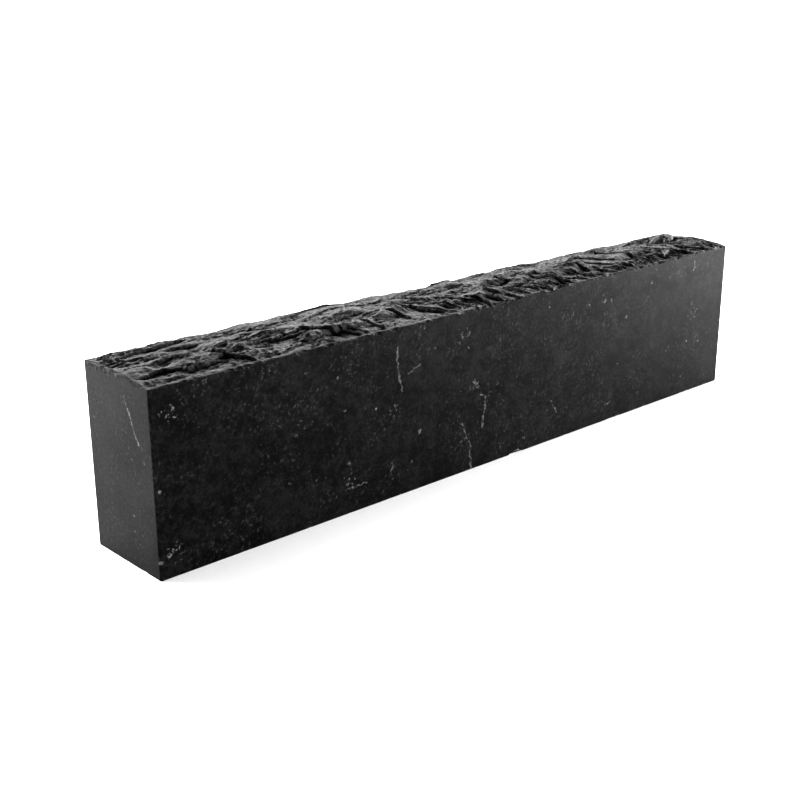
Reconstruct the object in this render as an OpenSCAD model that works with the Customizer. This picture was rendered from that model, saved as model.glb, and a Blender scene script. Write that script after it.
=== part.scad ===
// Natural whetstone: one block of dark, fine-grained stone. Five faces are sawn flat, and
// the sixth, the top, is cleft: it was split by hand and keeps its ridges and broken ledges.
//
// Origin: the middle of the bottom face. X runs along the length, Y through the thickness
// (the large honing face looks along -Y), and Z runs up to the cleft face.

/* [Block] */
// Length of the block
block_length = 200; // [150:5:300]
// Thickness between the two large sawn faces
block_thickness = 25; // [20:1:40]
// Height from the bottom to the upper arrises, where the cleft face begins
block_height = 42.2; // [30:0.1:60]
// Bevel that takes the sharpness off the sawn arrises
arris_bevel = 0.3; // [0.1:0.05:0.6]

/* [Cleft face] */
// Rise of the crown of the cleft face
crown_rise = 0.8; // [0:0.1:3]
// Rise of the tallest broken ledge
ledge_rise = 1.1; // [0:0.1:2]
// Length of the back slope of a ledge, from its crest down to nothing
ledge_slope = 7; // [3:0.5:12]
// Height of the small ridges between the ledges
ridge_rise = 0.8; // [0:0.1:1.5]
// Usual length of a small ridge
ridge_length = 13; // [6:1:30]
// Usual distance from one small ridge to the next
ridge_pitch = 4.5; // [3:0.5:10]
// Pattern of the small ridges
ridge_seed = 11; // [1:1:50]
// Spacing of the points that draw the cleft face
cleft_step = 1.6; // [1.6:0.1:5]

/* [Hidden] */

// The broken ledges, each with a steep scarp that looks along -Y. The first two numbers place
// the middle of the scarp, as parts of the half length and the half thickness. Then come the
// scarp's length in parts of the half length, its rise in parts of ledge_rise, and its turn in
// degrees away from the length of the block.
LEDGES = [
    [-0.91, -0.30, 0.20, 0.8, 10],
    [-0.82, -0.45, 0.14, 1.0, 0],
    [-0.74, -0.20, 0.10, 1.0, -35],
    [-0.80, 0.50, 0.12, 0.5, 0],
    [-0.84, 0.95, 0.10, 0.9, 0],
    [-0.74, 0.90, 0.06, 0.5, 0],
    [-0.56, -0.15, 0.16, 0.8, -4],
    [-0.58, 0.60, 0.10, 0.5, -20],
    [-0.46, -0.60, 0.18, 0.8, -4],
    [-0.38, 0.02, 0.14, 0.5, 6],
    [-0.27, -0.30, 0.12, 0.9, 12],
    [-0.18, 0.95, 0.08, 0.6, 0],
    [-0.17, 0.05, 0.14, 0.7, -10],
    [-0.10, -0.60, 0.10, 0.6, 10],
    [-0.09, 0.80, 0.10, 0.6, 0],
    [0.01, -0.60, 0.16, 0.8, 8],
    [0.03, 0.38, 0.06, 0.7, 0],
    [0.05, 0.95, 0.06, 0.6, 0],
    [0.16, 0.02, 0.18, 0.9, 6],
    [0.24, -0.30, 0.14, 0.9, 30],
    [0.29, -0.60, 0.12, 0.8, 30],
    [0.43, -0.25, 0.12, 0.9, 20],
    [0.51, 0.35, 0.10, 0.6, 25],
    [0.57, -0.85, 0.14, 0.6, 6],
    [0.66, -0.30, 0.14, 0.8, 20],
    [0.70, 0.95, 0.08, 0.5, 0],
    [0.77, -0.65, 0.16, 0.7, 14],
    [0.92, 0.30, 0.10, 1.3, 8],
];

scarp_run = 1.8;                            // width of the steep front of a ledge
wander = 1.4;                               // how far a ledge's line strays from straight
edge_calm = 4;                              // the relief dies away over this distance from an arris
front_relief = 0.25;                        // part of the relief that reaches the front arris
back_relief = 0.7;                          // part of the relief that reaches the back arris
crown_lean = 0.25;                          // the crown's top leans this much to the front
wander_length = 5;                          // length of one bend in a ledge's line
drift_length = 17;                          // the lines of ridges drift aside over this distance
ridge_turn = 0.12;                          // rise of a line of ridges across, for each step along

half_length = block_length / 2;
half_thickness = block_thickness / 2;

// Room above the upper arrises for the tallest point that the cleft face can have
tallest_ledge = ledge_rise * max([for (spec = LEDGES) spec[3]]);
headroom = crown_rise + tallest_ledge + ridge_rise + 1;

// The points of the cleft face lie on a grid that reaches past the sawn faces on every side
overhang = 1.5;
cells_x = round((block_length + 2 * overhang) / cleft_step);
cells_y = round((block_thickness + 2 * overhang) / cleft_step);
row = cells_y + 1;                          // points in one row across the thickness

// A sheet of chance values that the ridges and the ledges' wandering lines are drawn from
CHANCE_SIDE = 61;
chance = rands(0, 1, CHANCE_SIDE * CHANCE_SIDE, ridge_seed);

function wrap(i) = i - CHANCE_SIDE * floor(i / CHANCE_SIDE);
function chance_at(i, j) = chance[wrap(i) * CHANCE_SIDE + wrap(j)];
function mix(a, b, t) = a + (b - a) * t;
function ease(t) = let (c = min(1, max(0, t))) c * c * (3 - 2 * c);

// Smooth chance surface from 0 to 1, one hill or hollow to each unit square
function cloud(u, v) =
    let (i = floor(u), j = floor(v), s = ease(u - i), t = ease(v - j))
    mix(mix(chance_at(i, j), chance_at(i + 1, j), s),
        mix(chance_at(i, j + 1), chance_at(i + 1, j + 1), s), t);

// The same surface folded into sharp crests, from 0 in the hollows to 1 on a crest
function crest(u, v) = 1 - abs(2 * cloud(u, v) - 1);

// Height that one ledge adds: a steep scarp, then a long slope back down
function ledge(x, y, spec) =
    let (dx = x - spec[0] * half_length,
         dy = y - spec[1] * half_thickness,
         along = dx * cos(spec[4]) + dy * sin(spec[4]),
         across = dy * cos(spec[4]) - dx * sin(spec[4]),
         line = across + wander * (2 * cloud(along / wander_length + 40 * spec[0], 9 * spec[3]) - 1),
         reach = abs(along) / (spec[2] * half_length / 2))
    ledge_rise * spec[3]
        * ease(line / scarp_run + 0.5)
        * (1 - ease((line - scarp_run / 2) / ledge_slope))
        * (1 - ease((reach - 0.6) / 0.8));

function ledges(x, y) = max([for (spec = LEDGES) ledge(x, y, spec)]);

// Small ridges that run mostly along the block, in two sizes
function ridges(x, y) =
    let (drift = 3 * cloud(x / drift_length + 7, y / drift_length + 3),
         u = x / ridge_length + 0.2 * drift,
         v = (y - ridge_turn * x) / ridge_pitch + drift)
    ridge_rise * (0.65 * crest(u, v) + 0.35 * crest(2.3 * u + 19, 1.9 * v + 31));

// Share of the relief in force at a point: all of it on the open face, less towards an arris
function relief_share(x, y) =
    let (nearness = ease(min(half_length - abs(x) + edge_calm / 2, half_thickness - abs(y)) / edge_calm))
    mix(y < 0 ? front_relief : back_relief, 1, nearness);

// Crown across the thickness: 0 at both arrises and 1 at its top, which leans to the front
function crown(v) = (1 - v * v) * (1 - crown_lean * v) / (1 + crown_lean * crown_lean);

// Level of the cleft face above a point of the plan
function cleft_level(x, y) =
    let (v = min(1, max(-1, y / half_thickness)))
    block_height + crown_rise * crown(v)
        + relief_share(x, y) * (ledges(x, y) + ridges(x, y) - ridge_rise / 2);

function grid_x(i) = (block_length + 2 * overhang) * (i / cells_x - 0.5);
function grid_y(j) = (block_thickness + 2 * overhang) * (j / cells_y - 0.5);

// Everything below the cleft face, wider than the block on every side
module below_cleft() {
    top = [for (i = [0 : cells_x], j = [0 : cells_y])
        [grid_x(i), grid_y(j), cleft_level(grid_x(i), grid_y(j))]];

    // The rim, once round the cleft face, as places in the list of top points
    rim = concat(
        [for (i = [0 : cells_x - 1]) i * row],
        [for (j = [0 : cells_y - 1]) cells_x * row + j],
        [for (i = [cells_x : -1 : 1]) i * row + cells_y],
        [for (j = [cells_y : -1 : 1]) j]);
    around = len(rim);
    foot = [for (place = rim) [top[place][0], top[place][1], -overhang]];
    foot_start = len(top);
    centre = foot_start + around;

    // Each cell is halved one way or the other by turns
    cleft_faces = [for (i = [0 : cells_x - 1], j = [0 : cells_y - 1])
        let (a = i * row + j, b = a + row)
        each (i + j) % 2 == 0
            ? [[a, a + 1, b + 1], [a, b + 1, b]]
            : [[a, a + 1, b], [a + 1, b + 1, b]]];
    side_faces = [for (k = [0 : around - 1])
        let (next = (k + 1) % around)
        each [[rim[k], rim[next], foot_start + next], [rim[k], foot_start + next, foot_start + k]]];
    under_faces = [for (k = [0 : around - 1]) [foot_start + k, foot_start + (k + 1) % around, centre]];

    polyhedron(points = concat(top, foot, [[0, 0, -overhang]]),
               faces = concat(cleft_faces, side_faces, under_faces));
}

// Bevelled outline of the block in plan
module plan() {
    x = half_length;
    y = half_thickness;
    b = arris_bevel;
    polygon([[-x + b, -y], [x - b, -y], [x, -y + b], [x, y - b],
             [x - b, y], [-x + b, y], [-x, y - b], [-x, -y + b]]);
}

// The sawn faces with their bevelled arrises, before the top is split
module sawn_block() {
    side = arris_bevel * sqrt(2);
    difference() {
        linear_extrude(height = block_height + headroom) plan();
        for (y = [-half_thickness, half_thickness])
            translate([0, y, 0]) rotate([45, 0, 0]) cube([block_length + 2, side, side], center = true);
        for (x = [-half_length, half_length])
            translate([x, 0, 0]) rotate([0, 45, 0]) cube([side, block_thickness + 2, side], center = true);
    }
}

// The whole stone
module stone_block() {
    color([0.10, 0.10, 0.105])
    intersection() {
        sawn_block();
        below_cleft();
    }
}

stone_block();
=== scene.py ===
import math

import bpy
import numpy as np
from mathutils import Matrix, Vector
from mathutils.bvhtree import BVHTree


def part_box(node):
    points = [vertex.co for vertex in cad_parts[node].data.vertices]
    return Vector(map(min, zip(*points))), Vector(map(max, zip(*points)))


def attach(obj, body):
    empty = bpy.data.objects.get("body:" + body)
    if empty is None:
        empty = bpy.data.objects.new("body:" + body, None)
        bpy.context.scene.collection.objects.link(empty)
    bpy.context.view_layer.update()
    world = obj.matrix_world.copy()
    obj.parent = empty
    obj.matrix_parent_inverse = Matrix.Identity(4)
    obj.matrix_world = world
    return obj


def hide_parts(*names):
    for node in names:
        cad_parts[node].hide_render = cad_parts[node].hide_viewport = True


MM = 0.001

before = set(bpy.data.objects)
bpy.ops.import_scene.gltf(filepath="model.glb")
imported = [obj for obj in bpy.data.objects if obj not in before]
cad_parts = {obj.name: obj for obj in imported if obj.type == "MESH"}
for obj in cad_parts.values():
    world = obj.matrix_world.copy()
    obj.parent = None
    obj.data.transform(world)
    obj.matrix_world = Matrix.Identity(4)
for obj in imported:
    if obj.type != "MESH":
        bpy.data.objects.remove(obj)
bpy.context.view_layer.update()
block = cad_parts["stone_block"]
low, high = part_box("stone_block")
HALF_X = (high.x - low.x) / 2 / MM
HALF_Y = (high.y - low.y) / 2 / MM

# The sawn faces end at this level, and the cleft face rises above it
SAWN_HEIGHT = 0.422             # in parts of half the stone's length
ARRIS_Z = HALF_X * SAWN_HEIGHT

# Grid of the cleft face. All lengths are in mm from here on.
CELLS_X = 736
CELLS_Y = 88
CORNER_STEPS = (0.1, 0.2)       # extra grid lines beside each upright arris
CORNER_ROUND = 0.32             # radius of the upright and lower arrises
CORNER_BAND = 2.4               # the skin stays fine this close to an upright arris
CAD_STEP = 1.6                  # spacing at which the frame's cleft face is read


# ---------------------------------------------------------------- camera

def make_camera():
    """A camera that looks down at the left end and the front of the stone."""
    azimuth = math.radians(-42.53)
    elevation = math.radians(18.86)
    roll = math.radians(0.15)
    place = Vector((-1.1202, -1.1077, 0.6064))      # in parts of the stone's length
    lens, sensor_width = 57.1, 36                   # in mm
    length = high.x - low.x
    back = Vector((
        math.sin(azimuth) * math.cos(elevation),
        -math.cos(azimuth) * math.cos(elevation),
        math.sin(elevation),
    ))
    camera = bpy.data.objects.new("camera", bpy.data.cameras.new("camera"))
    bpy.context.collection.objects.link(camera)
    camera.data.sensor_width = sensor_width
    camera.data.lens = lens
    camera.data.clip_start = 0.01
    camera.data.clip_end = 20
    camera.location = place * length
    turn = (-back).to_track_quat("-Z", "Y").to_matrix().to_4x4() @ Matrix.Rotation(-roll, 4, "Z")
    camera.rotation_euler = turn.to_euler()
    bpy.context.scene.camera = camera


# ---------------------------------------------------------------- chance surfaces

SHEET = 64                      # chance values along each side of a sheet, before it repeats


def ease(t):
    return t * t * t * (t * (6 * t - 15) + 10)


def cloud(seed, u, v):
    """Smooth chance surface from about -1 to 1, with one rise or fall to each unit square."""
    angle = np.random.default_rng(seed).random((SHEET, SHEET)) * 2 * np.pi
    i = np.floor(u).astype(int)
    j = np.floor(v).astype(int)
    f = u - i
    g = v - j
    total = np.zeros_like(f)
    for a in (0, 1):
        for b in (0, 1):
            turn = angle[(i + a) % SHEET, (j + b) % SHEET]
            push = np.cos(turn) * (f - a) + np.sin(turn) * (g - b)
            weight = (ease(f) if a else 1 - ease(f)) * (ease(g) if b else 1 - ease(g))
            total += weight * push
    full_swing = 1.5
    return total * full_swing


def crest(seed, u, v):
    """The same surface folded: rounded hollows and sharp crests, from -1 to 1."""
    return 1 - 2.4 * np.abs(cloud(seed, u, v))


def terraces(seed, u, v, front):
    """Terraces one behind the other along v: each climbs steeply over its first part, then falls
    away slowly to the next. They come and go along u. From 0 to 1."""
    line = v + 0.55 * cloud(seed, u, v * 0.4)
    number = np.floor(line)
    t = line - number
    climb = ease(np.clip(t / front, 0, 1))
    fall = np.clip((1 - t) / (1 - front), 0, 1)
    height = np.where(t < front, climb, fall ** 1.3)
    return height * np.clip(0.45 + 1.3 * cloud(seed + 50, u * 0.8, number * 1.37 + 0.5), 0, 1.1)


def flakes(seed, u, v, step, tilt, bowl):
    """A surface broken into flakes, each with its own level, its own tilt and a hollow middle."""
    rng = np.random.default_rng(seed)
    place = rng.random((SHEET, SHEET, 2))
    trait = rng.uniform(-1, 1, (SHEET, SHEET, 3))
    i = np.floor(u).astype(int)
    j = np.floor(v).astype(int)
    nearest = np.full(u.shape, 9.0)
    height = np.zeros_like(u)
    for a in (-1, 0, 1):
        for b in (-1, 0, 1):
            ci = (i + a) % SHEET
            cj = (j + b) % SHEET
            du = u - i - a - place[ci, cj, 0]
            dv = v - j - b - place[ci, cj, 1]
            distance = du * du + dv * dv
            slope = 0.5 * trait[ci, cj, 1] * du + trait[ci, cj, 2] * dv
            own = step * trait[ci, cj, 0] + tilt * slope + bowl * distance
            height = np.where(distance < nearest, own, height)
            nearest = np.minimum(nearest, distance)
    return height


# ---------------------------------------------------------------- cleft face

def smooth_weights(known, wanted):
    """Matrix that carries values at evenly spaced places to the wanted places on a smooth curve."""
    step = known[1] - known[0]
    place = np.clip((wanted - known[0]) / step, 0, len(known) - 1.0001)
    first = np.floor(place).astype(int)
    t = place - first
    shape = (
        (-t ** 3 + 2 * t ** 2 - t) / 2,
        (3 * t ** 3 - 5 * t ** 2 + 2) / 2,
        (-3 * t ** 3 + 4 * t ** 2 + t) / 2,
        (t ** 3 - t ** 2) / 2,
    )
    weights = np.zeros((len(wanted), len(known)))
    for k, part in enumerate(shape):
        column = np.clip(first + k - 1, 0, len(known) - 1)
        np.add.at(weights, (np.arange(len(wanted)), column), part)
    return weights


def frame_cleft(xs, ys):
    """Level of the frame's own cleft face over the grid, smoothed, in mm."""
    tree = BVHTree.FromPolygons([v.co for v in block.data.vertices],
                                [tuple(p.vertices) for p in block.data.polygons])
    inset = 0.2
    known_x = np.linspace(-HALF_X + inset, HALF_X - inset, round(2 * HALF_X / CAD_STEP) + 1)
    known_y = np.linspace(-HALF_Y + inset, HALF_Y - inset, round(2 * HALF_Y / CAD_STEP) + 1)
    above = high.z + 10 * MM
    down = Vector((0, 0, -1))
    levels = np.array([
        [tree.ray_cast(Vector((x * MM, y * MM, above)), down)[0].z / MM for y in known_y]
        for x in known_x])
    return smooth_weights(known_x, xs) @ levels @ smooth_weights(known_y, ys).T


# The deepest breaks: steep little walls that look to the front. Each has its middle (x, y), its
# length and its height in mm, and its turn in degrees away from the length of the stone.
SCARPS = (
    (-96.0, -5.8, 7, 1.0, 12), (-90.5, -6.2, 5, 1.0, -24), (-84.0, -7.8, 11, 1.4, 2),
    (-75.5, -6.2, 13, 1.3, -62), (-80.8, 5.0, 9, 0.6, 3), (-91.0, 9.0, 8, 0.5, 10),
    (-66.5, -5.5, 5, 0.6, -20), (-66.0, 3.6, 8, 0.5, 4), (-57.5, -2.9, 10, 0.9, 8),
    (-50.0, -4.7, 11, 0.9, -42), (-55.4, -8.2, 6, 0.6, -4), (-59.0, 5.6, 7, 0.6, -38),
    (-38.3, 0.0, 13, 0.5, 12), (-44.6, -9.0, 7, 0.8, -60), (-36.5, -8.0, 8, 0.8, -78),
    (-26.3, -5.6, 7, 0.9, -64), (-20.2, -1.2, 6, 0.8, -58), (-17.4, -7.0, 8, 0.9, -50),
    (-15.6, 2.2, 6, 0.7, -70), (-12.6, -7.8, 4, 0.7, -40), (-10.0, 8.6, 6, 0.6, 0),
    (-2.4, -8.6, 9, 1.0, -70), (-1.0, -0.6, 6, 0.6, -66), (2.0, -10.2, 5, 0.8, -60),
    (12.8, -1.9, 12, 0.8, 6), (13.8, -5.2, 9, 0.5, -5), (17.0, -9.2, 6, 0.7, -75),
    (20.6, -8.8, 7, 0.8, -80), (23.0, 2.4, 9, 0.6, 24), (24.9, -2.8, 9, 1.1, -78),
    (27.6, -8.2, 9, 1.0, -82), (35.4, -1.2, 5, 0.5, -64), (42.5, -3.2, 9, 1.1, -74),
    (46.8, -8.6, 4, 0.7, -40), (50.6, 4.0, 4, 0.6, -20), (56.0, -10.6, 6, 0.7, -30),
    (64.0, 2.4, 12, 0.8, -65), (65.4, -6.4, 8, 0.9, -84), (75.5, -8.8, 8, 0.8, 24),
    (86.0, -7.4, 7, 0.8, -40), (91.5, 1.8, 9, 1.3, 2), (86.0, 8.3, 8, 0.6, -5),
    (67.5, 10.2, 5, 0.6, 0),
)

# How far the back of the cleft face stands above the frame's, at places along the stone, in mm
BACK_LIFT = ((-100, 0.7), (-84, 0.4), (-64, 0.5), (-36, 0.8), (-20, 0.2), (-10, -0.4), (4, 0.1),
             (28, 0.2), (38, -0.3), (60, 0.05), (74, -0.5), (90, -0.35), (100, -0.1))


def turned(x, y, turn):
    """Places along and across lines that run at this turn, in degrees, from the stone's length."""
    c, s = math.cos(math.radians(turn)), math.sin(math.radians(turn))
    return x * c + y * s, y * c - x * s


def scarps(x, y):
    """The ground dips towards the foot of each wall, jumps up it, then falls away slowly."""
    dip, dip_length = 0.60, 0.9
    jump, crown_length = 0.40, 2.6
    wall_width = 0.4
    total = np.zeros_like(x)
    stray = 0.28 * cloud(42, x / 1.1, y / 1.1)
    for k, (x0, y0, length, height, turn) in enumerate(SCARPS):
        along, across = turned(x - x0, y - y0, turn)
        across = across + 0.55 * cloud(41, along / 3.4 + 7 * k, 0 * x + 0.5) + stray
        share = 1 - ease(np.clip((np.abs(along) / (length / 2) - 0.5) / 0.7, 0, 1))
        foot = -dip * np.exp(np.minimum(across, 0) / dip_length)
        crown = jump * np.exp(-np.maximum(across, 0) / crown_length)
        climb = ease(np.clip(across / wall_width + 0.5, 0, 1))
        total += height * share * (foot + (crown - foot) * climb)
    return total


def splits(x, y, turn, seed, hackle):
    """Terraces of three sizes whose lines run at one turn from the length of the stone, in mm."""
    along, across = turned(x, y, turn)
    u = along + 1.4 * cloud(seed, x / 9, y / 6) + 0.4 * cloud(seed + 1, x / 2.2, y / 1.8)
    v = across + 0.6 * cloud(seed + 2, x / 11, y / 6) + 0.28 * cloud(seed + 3, x / 1.8, y / 1.6)
    broad = 0.50 * terraces(seed + 4, u / 15, v / 4.4, 0.08)
    middle = 0.38 * terraces(seed + 5, u / 8.0, v / 2.0, 0.14) * hackle
    small = 0.26 * terraces(seed + 6, u / 3.6, v / 0.95, 0.30) * hackle
    return broad + middle + small


def cleft_relief(x, y):
    """Scarps, scallops and grain that the split left on top of the frame's broad shape, in mm."""
    calm = 0.5 + 0.5 * cloud(23, x / 15, y / 7)                 # 0 on smooth scallops, 1 on hackle
    front = np.clip((y + HALF_Y) / 6, 0, 1)
    hackle = np.clip(0.25 + 1.1 * calm + 0.25 * (1 - front), 0, 1.3)
    # The lines run along the stone at its left and at its back, and cross it at the front right
    lengthwise, crosswise = 4, -54
    stray = 0.5 * cloud(34, x / 14, y / 8)
    swing = ease(np.clip((x + 70) / 60 + stray, 0, 1)) * ease(np.clip((7 - y) / 9 + stray, 0, 1))
    lines = ((1 - swing) * splits(x, y, lengthwise, 60, hackle)
             + swing * splits(x, y, crosswise, 80, hackle))
    chips = flakes(27, x / 3.0, y / 1.0, 0.06, 0.14, 0.05) * hackle
    splinters = 0.11 * crest(33, (x - 0.3 * y) / 1.9, y / 1.3) * hackle
    grain = 0.12 * cloud(29, x / 0.9, y / 0.8) * (0.5 + 0.5 * hackle)
    mean_rise = 0.35
    return scarps(x, y) + lines + splinters + chips + grain - mean_rise


def cleft_levels(xs, ys):
    """Level of the whole cleft face over the grid, in mm."""
    calm_edge = 2.0                 # the relief fades towards an arris over this distance
    lift_from = -5                  # the lift of the back begins at this y
    x, y = np.meshgrid(xs, ys, indexing="ij")
    edge = np.minimum(HALF_Y - np.abs(y), HALF_X - np.abs(x))
    least = np.where(y < 0, 0.3, 0.5)
    strength = least + (1 - least) * ease(np.clip(edge / calm_edge, 0, 1))
    share = ease(np.clip((y - lift_from) / (HALF_Y - lift_from), 0, 1))
    lift = np.interp(x, *zip(*BACK_LIFT)) * share
    return frame_cleft(xs, ys) + strength * cleft_relief(x, y) + lift


def hollows(levels):
    """How deep each point of the grid lies in a hollow, from 0 to 1; the material paints shade in
    by this.
    """
    reach = 6                       # grid points each way that the mean level is taken over
    deepest = 0.32
    weights = np.hanning(2 * reach + 3)[1:-1]
    weights /= weights.sum()
    mean = np.pad(levels, reach, mode="edge")
    for axis in (0, 1):
        mean = np.apply_along_axis(np.convolve, axis, mean, weights, mode="valid")
    return np.clip((mean - levels) / deepest, 0, 1)


# ---------------------------------------------------------------- skin of the stone

# Rings round the sawn faces. A stride of 4 means that a ring has every fourth point of the rim.
# The upper ones: depth below the arris, share of the rim's own ups and downs, and stride.
UPPER_RINGS = ((0.25, 1.0, 1), (0.55, 0.9, 1), (0.9, 0.75, 1), (1.4, 0.55, 2),
               (2.1, 0.3, 2), (3.0, 0.1, 4), (4.2, 0, 8), (5.6, 0, 16))

# The lower ones: level and stride. Those under the stone: distance in from its side, and stride.
LOWER_RINGS = ((5.2, 16), (4.0, 8), (3.0, 4), (2.2, 4), (1.5, 2), (1.0, 2), (0.6, 2))
BOTTOM_RINGS = ((0.7, 2), (1.3, 4), (2.2, 8), (3.6, 32))


def grid_lines(half, cells):
    """Even grid lines with a few more close beside each upright arris."""
    extra = np.array(CORNER_STEPS)
    even = np.linspace(-half, half, cells + 1)
    return np.unique(np.concatenate([even, -half + extra, half - extra]))


def rounded(x, y):
    """Draws points near an upright arris on to its small radius."""
    depth_x = CORNER_ROUND - (HALF_X - np.abs(x))
    depth_y = CORNER_ROUND - (HALF_Y - np.abs(y))
    inside = (depth_x > 0) & (depth_y > 0)
    reach = np.hypot(depth_x, depth_y)
    scale = np.where(inside, np.maximum(depth_x, depth_y) / np.maximum(reach, 1e-9), 1)
    shift_x = np.where(inside, depth_x * (1 - scale), 0)
    shift_y = np.where(inside, depth_y * (1 - scale), 0)
    return x - np.sign(x) * shift_x, y - np.sign(y) * shift_y


class Skin:
    """Collects the points and faces of the stone's one closed skin."""

    def __init__(self):
        self.points = []
        self.count = 0
        self.faces = []

    def add(self, points):
        start = self.count
        self.points.append(np.asarray(points, float))
        self.count += len(points)
        return list(range(start, self.count))

    def zip(self, upper, lower):
        """Faces between two rings. A ring maps a place along the rim to a point's number."""
        a, b = sorted(upper), sorted(lower)
        end = 1e9                   # past any place along the rim
        i = j = 0
        while i < len(a) or j < len(b):
            next_a = a[i + 1] if i + 1 < len(a) else (end if i < len(a) else end + 1)
            next_b = b[j + 1] if j + 1 < len(b) else (end if j < len(b) else end + 1)
            u0, l0 = upper[a[i % len(a)]], lower[b[j % len(b)]]
            u1, l1 = upper[a[(i + 1) % len(a)]], lower[b[(j + 1) % len(b)]]
            if next_a == next_b:
                self.faces.append((u0, l0, l1, u1))
                i, j = i + 1, j + 1
            elif next_a < next_b:
                self.faces.append((u0, l0, u1))
                i += 1
            else:
                self.faces.append((u0, l0, l1))
                j += 1


def rim_of(nx, ny):
    """Grid points once round the cleft face, each with its place along its own side."""
    return ([(i, 0, i) for i in range(nx)]
            + [(nx, j, j) for j in range(ny)]
            + [(i, ny, nx - i) for i in range(nx, 0, -1)]
            + [(0, j, ny - j) for j in range(ny, 0, -1)])


def ladder_faces(last, nx, ny):
    """Long faces that close the bottom across its innermost ring."""
    front = [last[k] for k in sorted(last) if k <= nx]
    right = [last[k] for k in sorted(last) if nx < k < nx + ny]
    back = [last[k] for k in sorted(last) if nx + ny <= k <= 2 * nx + ny]
    left = [last[k] for k in sorted(last) if k > 2 * nx + ny]
    back.reverse()
    faces = []
    for k in range(len(front) - 1):
        ladder = [front[k], front[k + 1], back[k + 1], back[k]]
        if k == 0:
            ladder += left
        if k == len(front) - 2:
            ladder[2:2] = right
        faces.append(tuple(reversed(ladder)))
    return faces


def build_skin():
    """Returns the skin's points in mm, its faces, and for each point how freshly broken it is and
    how deep it lies in a hollow."""
    xs = grid_lines(HALF_X, CELLS_X)
    ys = grid_lines(HALF_Y, CELLS_Y)
    nx, ny = len(xs) - 1, len(ys) - 1
    levels = cleft_levels(xs, ys)
    gx, gy = np.meshgrid(xs, ys, indexing="ij")
    gx, gy = rounded(gx, gy)
    skin = Skin()
    numbers = skin.add(np.stack([gx, gy, levels], -1).reshape(-1, 3))
    top = np.array(numbers).reshape(nx + 1, ny + 1)
    for i in range(nx):
        for j in range(ny):
            skin.faces.append((top[i, j], top[i + 1, j], top[i + 1, j + 1], top[i, j + 1]))

    rim = rim_of(nx, ny)
    rim_x = np.array([gx[i, j] for i, j, _ in rim])
    rim_y = np.array([gy[i, j] for i, j, _ in rim])
    rim_z = np.array([levels[i, j] for i, j, _ in rim])
    along = np.array([place for _, _, place in rim])
    corner = np.hypot(HALF_X - np.abs(rim_x), HALF_Y - np.abs(rim_y))

    def ring(z, stride, band=CORNER_BAND, inset=0.0):
        """Every stride-th point of the rim, and all of them near a corner, moved to level z."""
        kept = [k for k in range(len(rim)) if along[k] % stride == 0 or corner[k] < band]
        shrink_x, shrink_y = 1 - inset / HALF_X, 1 - inset / HALF_Y
        places = [(rim_x[k] * shrink_x, rim_y[k] * shrink_y, z[k]) for k in kept]
        return dict(zip(kept, skin.add(places)))

    # Down the sawn faces, from a fine ring under the cleft face to coarse ones at mid height
    rings = [{k: top[i, j] for k, (i, j, _) in enumerate(rim)}]
    lift = rim_z - ARRIS_Z
    for depth, share, stride in UPPER_RINGS:
        rings.append(ring(ARRIS_Z - depth + share * lift, stride))
    level = np.zeros(len(rim))
    for z in np.arange(ARRIS_Z - 6.6, 6.0, -0.7):
        rings.append(ring(level + z, 32))
    for z, stride in LOWER_RINGS:
        rings.append(ring(level + z, stride))
    # The lower arris turns on a small radius, then the bottom runs in to a ladder of long faces
    for turn in np.radians((0, 30, 60, 90)):
        rings.append(ring(level + CORNER_ROUND * (1 - math.sin(turn)), 2,
                          inset=CORNER_ROUND * (1 - math.cos(turn))))
    for inset, stride in BOTTOM_RINGS:
        rings.append(ring(level, stride, inset=inset))
    rings.append(ring(level, 64, band=0.01, inset=5.5))
    for upper, lower in zip(rings, rings[1:]):
        skin.zip(upper, lower)

    skin.faces += ladder_faces(rings[-1], nx, ny)

    points = np.concatenate(skin.points)
    fresh = np.zeros(len(points))
    fresh[: top.size] = 1
    hollow = np.zeros(len(points))
    hollow[: top.size] = hollows(levels).ravel()
    return points, skin.faces, fresh, hollow


# ---------------------------------------------------------------- chips

def scoop(points, fresh, centre, radii, seed):
    """Breaks a shell-shaped chip out of the stone: points inside the scoop move to its wall."""
    largest_reach = 1.25
    away = (points - centre) / radii
    reach = np.linalg.norm(away, axis=1)
    hit = np.nonzero(reach < largest_reach)[0]
    if not len(hit):
        return
    near, near_reach = away[hit], np.maximum(reach[hit], 1e-6)
    x, y, z = points[hit].T
    rough = 1 + 0.16 * cloud(seed, x / 0.7 + 5, (y + z) / 0.6)
    inside = near_reach < rough
    move = near * (rough / near_reach)[:, None] * radii + centre
    # Nothing is pushed up above the upper arris, down below the lower one, or out past a sawn face
    lowered, raised = np.minimum(move[:, 2], z), np.maximum(move[:, 2], z)
    move[:, 2] = np.where(z > ARRIS_Z / 2, lowered, raised)
    move[:, 0] = np.clip(move[:, 0], -HALF_X, HALF_X)
    move[:, 1] = np.clip(move[:, 1], -HALF_Y, HALF_Y)
    points[hit[inside]] = move[inside]
    fresh[hit[inside]] = 1


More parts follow.
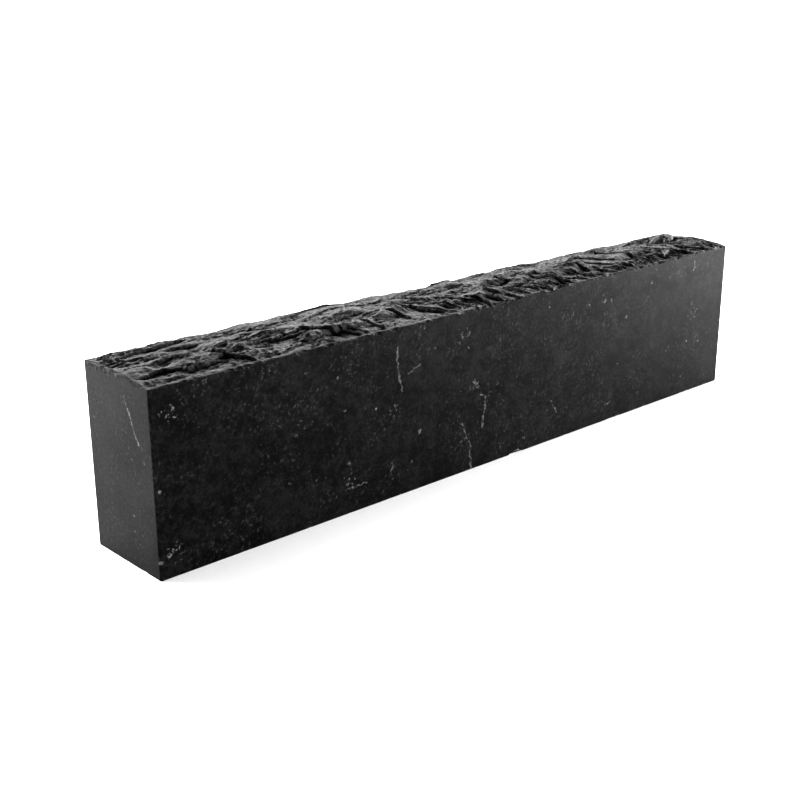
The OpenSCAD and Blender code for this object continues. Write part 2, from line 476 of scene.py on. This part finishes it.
def chip_arrises(points, fresh):
    """Chips of many sizes along every arris. Each call of chips takes the number of chips, where
    they lie and the axis that they stretch along, and their smallest and largest radius."""
    rng = np.random.default_rng(5)
    # One long shallow break on the lower front arris
    scoop(points, fresh, np.array([9.0, -HALF_Y - 0.1, -0.1]), np.array([3.4, 0.75, 0.75]), 77)
    # How far outside the faces the middles of the chips lie, and those of the lower arrises' chips
    outside, outside_low = 0.12, 0.1

    def chips(count, place, smallest, largest):
        # Small ones are far more common than large ones
        for _ in range(count):
            size = smallest * (largest / smallest) ** (rng.random() ** 2.2)
            stretch = rng.uniform(1.2, 2.6)
            x, y, z, along = place(rng)
            radii = np.array([size, size, size])
            radii[along] *= stretch
            scoop(points, fresh, np.array([x, y, z]), radii, int(rng.integers(1, 999)))

    for side in (-1, 1):
        # Crushed spots along the long upper arrises, then the ends of the cleft face
        chips(420, lambda r: (r.uniform(-HALF_X, HALF_X), side * (HALF_Y + outside),
                              ARRIS_Z + r.uniform(0.0, 0.35), 0), 0.14, 0.75)
        chips(50, lambda r: (side * (HALF_X + outside), r.uniform(-HALF_Y, HALF_Y),
                             ARRIS_Z + r.uniform(0.2, 0.9), 1), 0.14, 0.6)
        # Fewer and smaller along the lower arrises
        chips(60, lambda r: (r.uniform(-HALF_X, HALF_X), side * (HALF_Y + outside_low),
                             -outside_low, 0), 0.2, 0.5)
        chips(10, lambda r: (side * (HALF_X + outside_low), r.uniform(-HALF_Y, HALF_Y),
                             -outside_low, 1), 0.2, 0.5)
        # And on the four upright arrises
        for other in (-1, 1):
            chips(26, lambda r: (side * (HALF_X + outside), other * (HALF_Y + outside),
                                 r.uniform(0, ARRIS_Z), 2), 0.2, 0.42)


# ---------------------------------------------------------------- stone

def make_stone():
    """The whole stone, with its skin's two values kept as attributes for the material."""
    sharp = math.radians(38)        # edges that turn more than this are drawn sharp
    points, faces, fresh, hollow = build_skin()
    chip_arrises(points, fresh)
    mesh = bpy.data.meshes.new("whetstone")
    mesh.from_pydata((points * MM).tolist(), [], [tuple(int(k) for k in f) for f in faces])
    mesh.validate()
    mesh.update()
    stone = bpy.data.objects.new("whetstone", mesh)
    bpy.context.collection.objects.link(stone)
    for name, values in (("fresh", fresh), ("hollow", hollow)):
        mark = mesh.attributes.new(name, "FLOAT", "POINT")
        mark.data.foreach_set("value", values.astype(np.float32))
    mesh.shade_smooth()
    mesh.set_sharp_from_angle(angle=sharp)
    return stone


# ---------------------------------------------------------------- materials

DARKEST_GROUND = (0.0004, 0.0004, 0.0004, 1)
PALEST_GROUND = (0.0085, 0.0085, 0.0087, 1)
DARKEST_BROKEN = (0.011, 0.011, 0.0112, 1)
PALEST_BROKEN = (0.028, 0.028, 0.0283, 1)
# Painted shade: the near-black colour that the broken face turns to in its hollows, where shade
# falls
PAINTED_HOLLOW_SHADE = (0.001, 0.001, 0.001, 1)
CALCITE = (0.30, 0.30, 0.29, 1)
MARK_STRENGTH = 0.27            # how far the named veins and spots go towards calcite's colour
SHINE = 0.06                    # specular level of the stone
SAWN_ROUGHNESS = (0.36, 0.46)   # least and most, over the mottled ground
BROKEN_ROUGHER = 0.08           # added to the roughness where the stone is freshly broken
HOLLOW_ROUGHER = 0.35           # added to it in the depth of a hollow

# The specks: size of their cells, radius, share of the cells that have one, strength, and shift
SPECKS = ((1.4, 0.16, 0.30, 0.20, 3), (3.1, 0.26, 0.26, 0.28, 11), (8.0, 0.40, 0.30, 0.42, 29))

VEIN_REACH = 1000.0             # past its ends a vein's line jumps half of this aside


class Shader:
    """Short names for the nodes that the materials are built from. Lengths are in mm."""

    def __init__(self, name):
        self.material = bpy.data.materials.new(name)
        self.material.use_nodes = True
        self.tree = self.material.node_tree
        self.surface = self.tree.nodes["Principled BSDF"]
        self.place = self.vector("MULTIPLY", self.node("ShaderNodeTexCoord").outputs["Object"],
                                 (1 / MM,) * 3)

    def node(self, kind, **settings):
        made = self.tree.nodes.new(kind)
        for key, value in settings.items():
            setattr(made, key, value)
        return made

    def feed(self, socket, value):
        if isinstance(value, bpy.types.NodeSocket):
            self.tree.links.new(value, socket)
        else:
            socket.default_value = value

    def math(self, operation, *values):
        made = self.node("ShaderNodeMath", operation=operation)
        for socket, value in zip(made.inputs, values):
            self.feed(socket, value)
        return made.outputs[0]

    def vector(self, operation, *values, output="Vector"):
        made = self.node("ShaderNodeVectorMath", operation=operation)
        for socket, value in zip(made.inputs, values):
            self.feed(socket, value)
        return made.outputs[output]

    def range(self, value, start, end, to_start=0.0, to_end=1.0):
        """Carries a value that runs from start to end over to another range, on a smooth step."""
        made = self.node("ShaderNodeMapRange", interpolation_type="SMOOTHSTEP")
        for socket, number in zip(made.inputs, (value, start, end, to_start, to_end)):
            self.feed(socket, number)
        return made.outputs[0]

    def noise(self, size, detail=4.0, roughness=0.55, output="Fac"):
        made = self.node("ShaderNodeTexNoise")
        self.feed(made.inputs["Vector"], self.place)
        made.inputs["Scale"].default_value = 1 / size
        made.inputs["Detail"].default_value = detail
        made.inputs["Roughness"].default_value = roughness
        return made.outputs[output]

    def cells(self, size, shift):
        """Chance cells: distance to the nearest middle, and the cell's own three chance values."""
        made = self.node("ShaderNodeTexVoronoi")
        moved = self.vector("ADD", self.place, (shift, shift * 0.7, shift * 1.3))
        self.feed(made.inputs["Vector"], moved)
        made.inputs["Scale"].default_value = 1 / size
        chance = self.node("ShaderNodeSeparateColor")
        self.feed(chance.inputs[0], made.outputs["Color"])
        return self.math("MULTIPLY", made.outputs["Distance"], size), chance.outputs

    def line_reach(self, along, across, line, width):
        """Distance to a wandering line that runs along one axis, in parts of its half width."""
        first, last = line[0][0], line[-1][0]
        middle = line[0][1]
        curve = self.node("ShaderNodeFloatCurve")
        knots = curve.mapping.curves[0].points
        # Just past either end, as a part of its length, the line jumps far aside
        jump, margin = 0.05, 0.06
        whole = 1 + 2 * margin
        path = [((p - first) / (last - first), (q - middle) / VEIN_REACH + 0.5) for p, q in line]
        places = [(-margin, 1), (-jump, 1), *path, (1 + jump, 1), (1 + margin, 1)]
        places = [((p + margin) / whole, q) for p, q in places]
        for k, (p, q) in enumerate(places):
            knot = knots[k] if k < 2 else knots.new(p, q)
            knot.location = (p, q)
            knot.handle_type = "VECTOR"
        curve.mapping.update()
        step = 1 / ((last - first) * whole)
        share = self.math("MULTIPLY_ADD", along, step, margin / whole - first * step)
        self.feed(curve.inputs["Value"], share)
        line_place = self.math("MULTIPLY_ADD", curve.outputs[0], VEIN_REACH,
                               middle - VEIN_REACH / 2)
        aside = self.math("ABSOLUTE", self.math("SUBTRACT", across, line_place))
        return self.math("MULTIPLY", aside, 1 / width)

    def mix(self, factor, first, second):
        made = self.node("ShaderNodeMix", data_type="RGBA")
        self.feed(made.inputs["Factor"], factor)
        self.feed(made.inputs[6], first)
        self.feed(made.inputs[7], second)
        return made.outputs[2]

    def bump(self, height, distance, normal=None):
        made = self.node("ShaderNodeBump")
        made.inputs["Distance"].default_value = distance * MM
        made.inputs["Strength"].default_value = 1.0
        self.feed(made.inputs["Height"], height)
        if normal:
            self.feed(made.inputs["Normal"], normal)
        return made.outputs[0]


# Calcite veins on the front face. Each is a line of places (up, along) or (along, up) in mm, in
# rising order of the first number, and its half width.
UPRIGHT_VEINS = (
    (((10.4, -3.8), (12.4, -3.9), (14.4, -3.4), (16.8, -3.0), (19.0, -3.4), (19.7, -5.0)), 0.42),
    (((0.0, -7.7), (3.2, -8.1), (6.3, -8.0), (9.2, -9.4), (11.8, -10.5), (13.4, -11.6)), 0.32),
    (((26.3, -31.5), (31.2, -32.6), (34.0, -33.0), (37.8, -33.2)), 0.30),
    (((7.0, -35.1), (9.2, -34.8)), 0.28),
    (((37.2, 84.2), (40.0, 84.3)), 0.34),
    (((7.4, 24.9), (9.2, 24.0)), 0.34),
    (((21.6, -33.4), (23.6, -33.8)), 0.20),
)
LEVEL_VEINS = (
    (((-49.6, 6.4), (-42.8, 6.3)), 0.26),
    (((-29.6, 30.2), (-25.0, 32.2)), 0.20),
    (((45.0, 5.0), (48.2, 5.2)), 0.26),
)

# The vein on the left end, as places (up, across)
END_VEIN = (
    ((28.6, -9.2), (29.4, -7.5), (30.6, -6.5), (33.0, -5.6), (35.5, -4.5), (38.6, -2.8)), 0.27,
)

# Single spots of calcite on the front face: x, z and radius, in mm
FRONT_SPOTS = (
    (-94.4, 36.8, 0.60), (-95.6, 36.2, 0.34), (-94.5, 35.2, 0.40), (-97.6, 36.4, 0.34),
    (-96.2, 38.2, 0.28), (-99.0, 20.0, 0.60), (-96.6, 6.2, 0.55), (-95.0, 6.6, 0.42),
    (-97.6, 5.2, 0.36), (-99.6, 4.2, 0.75), (-60.2, 37.0, 0.46), (-57.1, 32.5, 0.40),
    (-51.2, 34.0, 0.38), (-49.2, 25.8, 0.38), (-65.6, 12.4, 0.44), (-48.2, 12.6, 0.70),
    (-52.4, 5.2, 0.42), (-20.6, 34.8, 0.42), (-26.0, 14.8, 0.52), (-28.6, 7.9, 0.52),
    (-18.8, 14.8, 0.38), (-12.6, 34.3, 0.42), (-9.5, 32.7, 0.44), (-9.2, 36.7, 0.50),
    (-7.2, 23.4, 0.55), (-6.2, 22.6, 0.60), (-7.2, 21.9, 0.50), (-5.6, 21.6, 0.45),
    (1.3, 21.0, 0.60), (9.3, 23.2, 0.38), (12.2, 3.6, 0.60), (20.5, 37.6, 0.42),
    (37.0, 35.2, 0.38), (53.2, 29.0, 0.42), (64.2, 37.1, 0.40), (72.5, 37.0, 0.42),
    (84.5, 27.5, 0.42), (74.0, 15.8, 0.55), (50.6, 15.8, 0.40), (88.8, 15.0, 0.55),
)

# And on the left end: y, z and radius
END_SPOTS = ((-7.4, 29.5, 0.50), (-9.2, 25.6, 0.32), (-3.7, 12.3, 0.32), (-3.5, 8.7, 0.30))

# Places on the front face where pale crumbs crowd together: x, z and radius, in mm
CLUSTERS = (
    (-96, 36, 3.6), (-96, 5.6, 3.8), (-63, 25, 3.6), (-10.4, 9.8, 3.0), (74, 15.8, 2.2),
    (-7, 22.4, 2.4), (-11, 36, 3.2), (44.5, 35, 3.6), (-48, 8.5, 3.2), (22, 10.4, 2.6),
    (-34, 22, 2.4), (86, 24, 3.6),
)


def calcite_marks(s):
    """The named veins and spots: 1 in the middle of a mark, 0 away from all of them."""
    # The rear half of the block carries the same marks, turned end for end and upside down
    middle = (0, 0, ARRIS_Z / 2)
    parts = s.node("ShaderNodeSeparateXYZ")
    s.feed(parts.inputs[0], s.place)
    in_front = s.math("LESS_THAN", parts.outputs["Y"], 0.0)
    side = s.math("SUBTRACT", s.math("MULTIPLY", in_front, 2.0), 1.0)
    front_place = s.vector("MULTIPLY_ADD", s.vector("SUBTRACT", s.place, middle), side, middle)
    # Their outlines are ragged
    shift = s.vector("SUBTRACT", s.noise(1.1, 3, 0.5, "Color"), (0.5, 0.5, 0.5))
    place = s.vector("ADD", front_place, s.vector("MULTIPLY", shift, (2.0, 0.6, 2.0)))

    at = s.node("ShaderNodeSeparateXYZ")
    s.feed(at.inputs[0], place)
    x, y, z = at.outputs
    reaches = [s.line_reach(z, x, *vein) for vein in UPRIGHT_VEINS]
    reaches += [s.line_reach(x, z, *vein) for vein in LEVEL_VEINS]
    # The vein of the end face stops 1 mm in from it
    inside = s.math("GREATER_THAN", x, -HALF_X + 1.0)
    out_of_reach = s.math("MULTIPLY", inside, 9.0)
    reaches.append(s.math("ADD", s.line_reach(z, y, *END_VEIN), out_of_reach))
    spots = [((x, -HALF_Y, z), radius) for x, z, radius in FRONT_SPOTS]
    spots += [((-HALF_X, y, z), radius) for y, z, radius in END_SPOTS]
    for centre, radius in spots:
        distance = s.vector("DISTANCE", place, centre, output="Value")
        reaches.append(s.math("MULTIPLY", distance, 1 / radius))
    nearest = reaches[0]
    for reach in reaches[1:]:
        nearest = s.math("MINIMUM", nearest, reach)
    return s.range(nearest, 0.35, 1.15, 1, 0)


def ground_colour(s, mottle, fresh, hollow):
    """Cloudy near-black ground, and the paler colour of freshly broken stone, with painted shade
    darkening it in the hollows.
    """
    drift = s.noise(14, 3)
    speckle = s.noise(0.8, 4, 0.75)
    tone = s.math("ADD", s.math("MULTIPLY", drift, 0.25), s.math("MULTIPLY", mottle, 0.25))
    tone = s.math("ADD", tone, s.math("MULTIPLY", speckle, 0.5))
    ground = s.mix(s.range(tone, 0.42, 0.60), DARKEST_GROUND, PALEST_GROUND)
    broken = s.mix(s.range(tone, 0.36, 0.64), DARKEST_BROKEN, PALEST_BROKEN)
    # Painted shade: the broken colour darkens to near-black in the depth of each hollow
    broken = s.mix(hollow, broken, PAINTED_HOLLOW_SHADE)
    return s.mix(s.math("MULTIPLY", fresh, 0.9), ground, broken)


def with_crumbs(s, colour, patches):
    """Adds pale crumbs in patches, ragged and mostly faint."""
    crumbs = s.range(s.noise(0.8, 3, 0.6), 0.57, 0.72)
    crowd = s.math("MULTIPLY", patches, 0.10)
    for x, z, radius in CLUSTERS:
        distance = s.vector("DISTANCE", s.place, (x, -HALF_Y, z), output="Value")
        crowd = s.math("MAXIMUM", crowd, s.range(distance, 0.2 * radius, radius, 0.36, 0))
    return s.mix(s.math("MULTIPLY", crumbs, crowd), colour, CALCITE)


def with_specks(s, colour, patches, grain):
    """Adds single specks, more of them in the patches."""
    for size, radius, share, strength, shift in SPECKS:
        distance, chance = s.cells(size, shift)
        chosen = s.range(s.math("ADD", chance[0], s.math("MULTIPLY", patches, 0.25)),
                         1 - share, 1.12 - share)
        ragged = s.math("ADD", distance, s.math("MULTIPLY", s.math("SUBTRACT", grain, 0.5), radius))
        spot = s.range(ragged, radius * 0.4, radius, 1, 0)
        mask = s.math("MULTIPLY", s.math("MULTIPLY", chosen, spot),
                      s.math("MULTIPLY", chance[1], strength))
        colour = s.mix(mask, colour, CALCITE)
    return colour


def with_marks(s, colour):
    """Adds the named veins and spots, broken up into dots and dashes."""
    gaps = s.range(s.noise(0.9, 3, 0.6), 0.38, 0.60, 0.12, 1)
    marks = s.math("MULTIPLY", calcite_marks(s), gaps)
    return s.mix(s.math("MULTIPLY", marks, MARK_STRENGTH), colour, CALCITE)


def stone_material():
    """Near-black cloudy stone with calcite in it, paler and duller where it is freshly broken, and
    with painted shade in the hollows of the broken face.
    """
    s = Shader("black_limestone")
    fresh = s.node("ShaderNodeAttribute", attribute_name="fresh").outputs["Fac"]
    hollow = s.node("ShaderNodeAttribute", attribute_name="hollow").outputs["Fac"]
    mottle = s.noise(2.6, 5, 0.6)
    grain = s.noise(0.35, 3, 0.6)
    patches = s.range(s.noise(9, 3), 0.42, 0.70)

    colour = ground_colour(s, mottle, fresh, hollow)
    colour = with_crumbs(s, colour, patches)
    colour = with_specks(s, colour, patches, grain)
    s.feed(s.surface.inputs["Base Color"], with_marks(s, colour))

    s.surface.inputs["Specular IOR Level"].default_value = SHINE
    rough = s.range(mottle, 0.3, 0.7, *SAWN_ROUGHNESS)
    rough = s.math("ADD", rough, s.math("MULTIPLY", fresh, BROKEN_ROUGHER))
    s.feed(s.surface.inputs["Roughness"], s.math("MULTIPLY_ADD", hollow, HOLLOW_ROUGHER, rough))

    # Grain everywhere, rough breaks where the stone is fresh, and a trace of sawn texture
    normal = s.bump(grain, 0.02)
    normal = s.bump(s.math("MULTIPLY", s.noise(0.7, 5, 0.72), fresh), 0.8, normal)
    s.feed(s.surface.inputs["Normal"], s.bump(s.noise(0.12, 2), 0.008, normal))
    return s.material


def floor_material():
    """Matt near-white, very slightly uneven."""
    s = Shader("pale_floor")
    s.feed(s.surface.inputs["Base Color"],
           s.mix(s.noise(60, 2), (0.86, 0.86, 0.86, 1), (0.88, 0.88, 0.88, 1)))
    s.surface.inputs["Roughness"].default_value = 0.9
    s.surface.inputs["Specular IOR Level"].default_value = 0.1
    return s.material


# ---------------------------------------------------------------- studio

# Softboxes: name, place, width, height and watts. Lengths are in metres from here on.
SMALL_SOFTBOXES = (
    ("back_softbox", (0.44, 0.88, 0.45), 1.3, 0.4, 24),
    ("right_softbox", (1.06, -0.25, 0.13), 0.5, 0.25, 67),
    ("left_softbox", (-0.60, 0.85, 0.38), 0.5, 0.4, 38),
)


def make_floor():
    """A pale floor that is flat round the stone and sweeps up all round it, far off."""
    flat, outer, rise, rings, spokes = 0.8, 2.2, 1.1, 12, 64
    corners = [(0, 0, low.z)]
    for k in range(rings + 1):
        t = k / rings
        radius = flat + (outer - flat) * t
        height = low.z + rise * t * t
        for turn in np.linspace(0, 2 * math.pi, spokes, endpoint=False):
            corners.append((radius * math.cos(turn), radius * math.sin(turn), height))
    faces = [(0, 1 + k, 1 + (k + 1) % spokes) for k in range(spokes)]
    for ring in range(rings):
        start = 1 + ring * spokes
        for k in range(spokes):
            after = (k + 1) % spokes
            faces.append((start + k, start + spokes + k, start + spokes + after, start + after))
    mesh = bpy.data.meshes.new("floor")
    mesh.from_pydata(corners, [], faces)
    mesh.shade_smooth()
    floor = bpy.data.objects.new("floor", mesh)
    bpy.context.collection.objects.link(floor)
    mesh.materials.append(floor_material())


def soft_light(name, place, width, height, power, target=(0, 0, 0.02)):
    """A rectangular softbox that faces its target."""
    data = bpy.data.lights.new(name, "AREA")
    data.shape = "RECTANGLE"
    data.size = width
    data.size_y = height
    data.energy = power
    light = bpy.data.objects.new(name, data)
    bpy.context.collection.objects.link(light)
    light.visible_camera = False
    light.location = place
    light.rotation_euler = (Vector(target) - Vector(place)).to_track_quat("-Z", "Y").to_euler()


def make_studio():
    make_floor()
    world = bpy.data.worlds.new("studio")
    world.use_nodes = True
    background = world.node_tree.nodes["Background"]
    background.inputs["Color"].default_value = (1, 1, 1, 1)
    background.inputs["Strength"].default_value = 0.02
    bpy.context.scene.world = world
    soft_light("overhead_softbox", (0.5, 1.6, 2.2), 3.6, 3.0, 62, (0.5, 1.3, 0))
    for softbox in SMALL_SOFTBOXES:
        soft_light(*softbox)
    bpy.context.scene.view_settings.view_transform = "Standard"
    bpy.context.scene.view_settings.look = "High Contrast"


# ---------------------------------------------------------------- everything

make_camera()
stone = make_stone()
stone.data.materials.append(stone_material())
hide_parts("stone_block")
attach(stone, "root")
make_studio()
